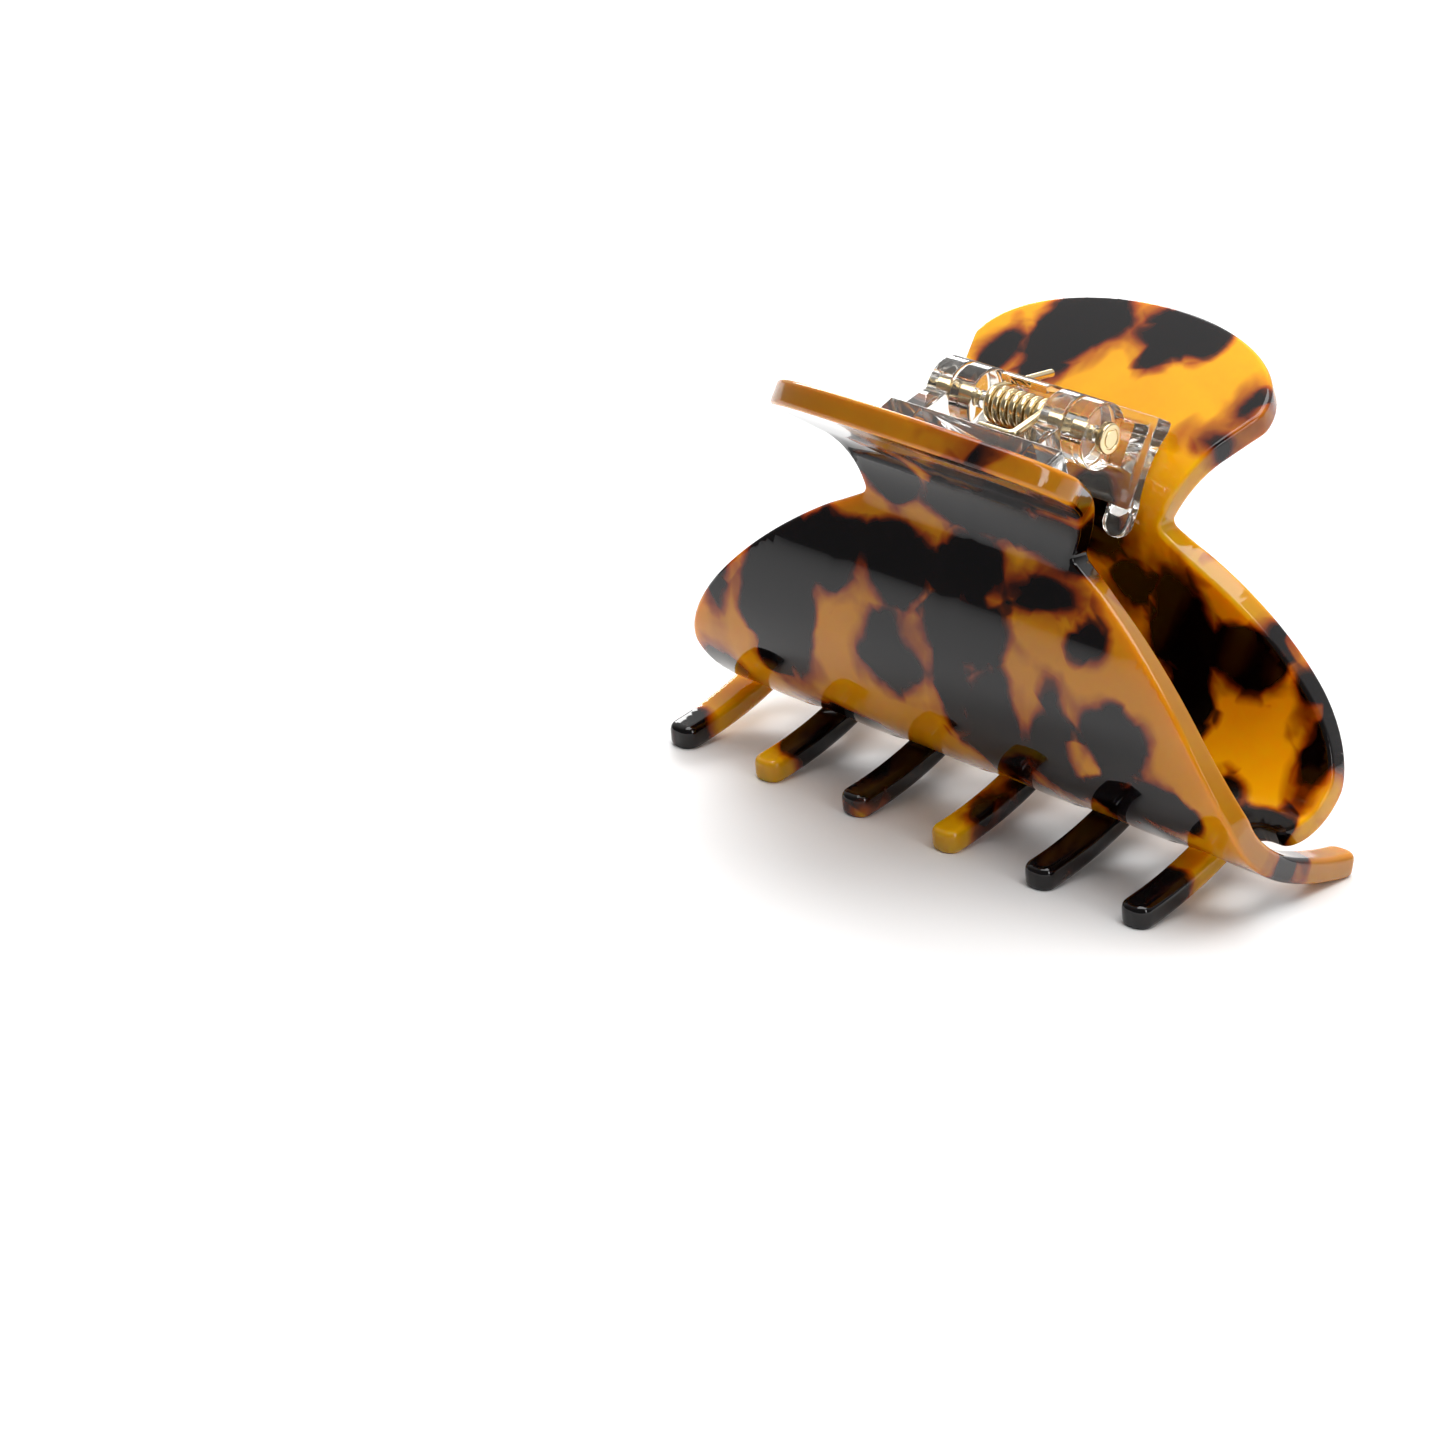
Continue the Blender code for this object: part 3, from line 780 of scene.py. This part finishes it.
def tortoiseGroup():
    # Near-black chips with orange-red borders in clouded amber, laid on the flat blank, with painted shade
    # darkening the amber along the cut edge.
    group = bpy.data.node_groups.new("tortoiseshell", "ShaderNodeTree")
    newInputs(group, [
        ("Offset", "NodeSocketVector", (0, 0, 0)),
        ("Amber", "NodeSocketColor", (1, 1, 1, 1)),
        ("Deep Amber", "NodeSocketColor", (1, 1, 1, 1)),
    ])
    group.interface.new_socket("Color", in_out="OUTPUT", socket_type="NodeSocketColor")
    link = group.links.new
    start = addNode(group, "NodeGroupInput", (-1200, 0))
    blank = addNode(group, "ShaderNodeAttribute", (-1200, 200), attribute_name="blank")
    chip = addNode(group, "ShaderNodeAttribute", (-1200, 400), attribute_name="chip")
    shift = addNode(group, "ShaderNodeVectorMath", (-1000, 100), operation="ADD")
    link(blank.outputs["Vector"], shift.inputs[0])
    link(start.outputs["Offset"], shift.inputs[1])
    wander = addNode(group, "ShaderNodeTexNoise", (-800, 200))
    wander.inputs["Scale"].default_value = tortoise["wanderScale"]
    wander.inputs["Detail"].default_value = 1.5
    link(shift.outputs[0], wander.inputs["Vector"])
    facets = addNode(group, "ShaderNodeTexVoronoi", (-800, 0), feature="SMOOTH_F1")
    facets.inputs["Scale"].default_value = tortoise["facetScale"]
    facets.inputs["Smoothness"].default_value = 0.25
    link(shift.outputs[0], facets.inputs["Vector"])
    parts = addNode(group, "ShaderNodeSeparateColor", (-600, 0))
    link(facets.outputs["Color"], parts.inputs[0])
    fray = addNode(group, "ShaderNodeTexNoise", (-800, -200))
    fray.inputs["Scale"].default_value = tortoise["frayScale"]
    link(shift.outputs[0], fray.inputs["Vector"])
    depth = sumOf(group, (-200, 300), chip.outputs["Fac"],
                  stray(group, (-400, 200), wander.outputs[0], tortoise["wander"]))
    depth = sumOf(group, (0, 200), depth, stray(group, (-400, 0), parts.outputs[0], tortoise["facets"]))
    depth = sumOf(group, (200, 100), depth, stray(group, (-400, -200), fray.outputs[0], tortoise["fray"]))
    dark = distanceRamp(group, (400, 100), depth, -4.0, 2.0, tortoise["steps"])
    clouds = addNode(group, "ShaderNodeTexNoise", (0, -300))
    clouds.inputs["Scale"].default_value = tortoise["clouds"]
    clouds.inputs["Distortion"].default_value = 1.5
    link(shift.outputs[0], clouds.inputs["Vector"])
    bleed = addNode(group, "ShaderNodeTexNoise", (-400, -400))
    bleed.inputs["Scale"].default_value = tortoise["bleedScale"]
    bleed.inputs["Distortion"].default_value = 0.8
    link(shift.outputs[0], bleed.inputs["Vector"])
    spread = sumOf(group, (200, -400), chip.outputs["Fac"],
                   stray(group, (0, -450), bleed.outputs[0], tortoise["bleed"]))
    brown = distanceRamp(group, (400, -400), spread, -5.0, 3.0, tortoise["bleedSteps"])
    # Painted shade on the cut edge: a mask that rises where the point lies between the sheet's two faces.
    depths = addNode(group, "ShaderNodeSeparateXYZ", (-600, 600))
    link(blank.outputs["Vector"], depths.inputs[0])
    through = addNode(group, "ShaderNodeMath", (-400, 600), operation="ABSOLUTE")
    link(depths.outputs["Z"], through.inputs[0])
    rim = addNode(group, "ShaderNodeMapRange", (-200, 600))
    rim.inputs["From Min"].default_value, rim.inputs["From Max"].default_value = tortoise["rimShadeDepth"]
    rim.inputs["To Max"].default_value = tortoise["rimShadeShare"]
    link(through.outputs[0], rim.inputs["Value"])
    amber, deepAmber = start.outputs["Amber"], start.outputs["Deep Amber"]
    ground = mixOf(group, (650, -200), clouds.outputs[0], amber, deepAmber)
    # The amber darkened along the cut edge by the painted shade.
    ground = mixOf(group, (850, -200), rim.outputs[0], ground, (*tortoise["rim"], 1), "MULTIPLY")
    tint = mixOf(group, (1050, -100), 1.0, ground, brown, "MULTIPLY")
    tint = mixOf(group, (1250, 0), 1.0, tint, dark, "MULTIPLY")
    end = addNode(group, "NodeGroupOutput", (1450, 0))
    link(tint, end.inputs["Color"])
    return group


finishes = {
    "acetate": {
        "Roughness": 0.05,
        "IOR": 1.49,
        "Subsurface Weight": 0.85,
        "Subsurface Radius": (1.0, 0.5, 0.1),
        "Subsurface Scale": 4.5 * mm,
    },
    "clear plastic": {
        "Base Color": (1.0, 0.985, 0.95, 1),
        "Roughness": 0.03,
        "IOR": 1.4,
        "Transmission Weight": 0.97,
    },
    "pale brass": {
        "Base Color": (0.80, 0.66, 0.40, 1),
        "Metallic": 1.0,
        "Roughness": 0.2,
    },
    "pale floor": {
        "Base Color": (0.92, 0.92, 0.92, 1),
        "Roughness": 0.6,
    },
}


def newMaterial(name, finish):
    material = bpy.data.materials.new(name)
    material.use_nodes = True
    shader = material.node_tree.nodes["Principled BSDF"]
    for socket, value in finishes[finish].items():
        shader.inputs[socket].default_value = value
    return material


def acetateMaterial(name, group, sheet):
    material = newMaterial(name, "acetate")
    tree = material.node_tree
    pattern = addNode(tree, "ShaderNodeGroup", (-400, 200), node_tree=group)
    offset, amber, deepAmber = sheet
    pattern.inputs["Offset"].default_value = offset
    pattern.inputs["Amber"].default_value = (*amber, 1)
    pattern.inputs["Deep Amber"].default_value = (*deepAmber, 1)
    tree.links.new(pattern.outputs["Color"], tree.nodes["Principled BSDF"].inputs["Base Color"])
    return material


group = tortoiseGroup()
# Lit and shaded copies of the one acetate: painted shade in the front jaw's amber, painted light in the
# rear jaw's amber.
shadedFrontAcetate = acetateMaterial("front jaw acetate with painted shade", group, tortoise["front"])
litRearAcetate = acetateMaterial("rear jaw acetate with painted light", group, tortoise["rear"])
clear = newMaterial("clear plastic", "clear plastic")
brass = newMaterial("pale brass", "pale brass")
print("materials made")

blank = makeBlank()
profile = makeProfileCurve()
tree = bendTree()
frontJaw = makeJaw("frontJaw", blank, frontChips, profile, tree, 0.0, shadedFrontAcetate)
rearJaw = makeJaw("rearJaw", blank, rearChips, profile, tree, math.pi, litRearAcetate)
bpy.data.objects.remove(blank, do_unlink=True)
bpy.data.objects.remove(profile, do_unlink=True)
print("jaws bent", len(frontJaw.data.polygons))

frontBracket = makeBracket("frontHingeBracket", True, False, clear)
rearBracket = makeBracket("rearHingeBracket", False, True, clear)
print("brackets made", len(frontBracket.data.polygons), len(rearBracket.data.polygons))
hingePin = makePin(brass)
torsionSpring = makeSpring(brass)
print("pin and spring made", len(torsionSpring.data.polygons))

for piece, node, body, slot in (
    (frontJaw, "front_jaw", "front", "acetate"),
    (rearJaw, "rear_jaw", "rear", "acetate"),
    (frontBracket, "front_hinge_bracket", "front", "clear_plastic"),
    (rearBracket, "rear_hinge_bracket", "rear", "clear_plastic"),
    (hingePin, "hinge_pin", "rear", "brass"),
):
    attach(piece, body)
    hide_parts(node)
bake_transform(torsionSpring)
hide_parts("torsion_spring")


studio = {
    "floorSize": 3.0,
    "worldStrength": (0.15, 0.75),           # on the dark side of the room and on the bright one
    "brightSide": (-0.25, 0.62, 0.74),
    "worldFade": (0.1, 0.9),        # how far towards the bright side that starts and is full
    "lens": 110.0,
    "cameraPlace": (321.4 * mm, -398.2 * mm, 169.9 * mm),       # from the hinge
    "cameraForward": (-0.6285, 0.6767, -0.3834),
    "cameraUp": (-0.2831, 0.2601, 0.9232),
    "lights": (                     # place, target, size and watts
        ("top softbox", (0.1, 0.05, 0.9), (0, 0, 0.03), (0.8, 0.8), 8.6),
        ("back softbox", (-0.75, 0.6, 0.45), (0, 0, 0.05), (0.55, 0.3), 4.5),
        ("side strip", (0.75, -0.15, 0.35), (0, 0, 0.05), (0.12, 0.5), 1.2),
    ),
}


def makeFloor():
    bm = bmesh.new()
    bmesh.ops.create_grid(bm, x_segments=1, y_segments=1, size=studio["floorSize"] / 2)
    floor = linkObject("floor", meshFrom(bm, "floor"))
    floor.data.materials.append(newMaterial("pale floor", "pale floor"))


def makeLight(name, place, target, size, power):
    light = bpy.data.lights.new(name, "AREA")
    light.shape = "RECTANGLE"
    light.size, light.size_y = size
    light.energy = power
    item = linkObject(name, light)
    item.location = place
    item.rotation_euler = (Vector(target) - Vector(place)).to_track_quat("-Z", "Y").to_euler()


def makeCamera():
    camera = linkObject("camera", bpy.data.cameras.new("camera"))
    camera.data.lens = studio["lens"]
    camera.data.clip_start = 0.01
    forward = Vector(studio["cameraForward"]).normalized()
    up = Vector(studio["cameraUp"])
    side = forward.cross(up).normalized()
    up = side.cross(forward)
    turn = Matrix((side, up, -forward)).transposed()
    camera.matrix_world = Matrix.Translation(hinge + Vector(studio["cameraPlace"])) @ turn.to_4x4()
    bpy.context.scene.camera = camera


def makeWorld():
    world = bpy.data.worlds.new("studio")
    world.use_nodes = True
    tree = world.node_tree
    back = tree.nodes["Background"]
    back.inputs["Color"].default_value = (1, 1, 1, 1)
    room = addNode(tree, "ShaderNodeTexCoord", (-800, 0))
    facing = addNode(tree, "ShaderNodeVectorMath", (-600, 0), operation="DOT_PRODUCT")
    tree.links.new(room.outputs["Generated"], facing.inputs[0])
    facing.inputs[1].default_value = studio["brightSide"]
    level = addNode(tree, "ShaderNodeMapRange", (-400, 0), interpolation_type="SMOOTHSTEP")
    level.inputs["From Min"].default_value, level.inputs["From Max"].default_value = studio["worldFade"]
    level.inputs["To Min"].default_value, level.inputs["To Max"].default_value = studio["worldStrength"]
    tree.links.new(facing.outputs["Value"], level.inputs["Value"])
    tree.links.new(level.outputs[0], back.inputs["Strength"])
    bpy.context.scene.world = world


makeFloor()
makeWorld()
makeCamera()
for light in studio["lights"]:
    makeLight(*light)
bpy.context.scene.view_settings.view_transform = "Standard"
print("studio lit")
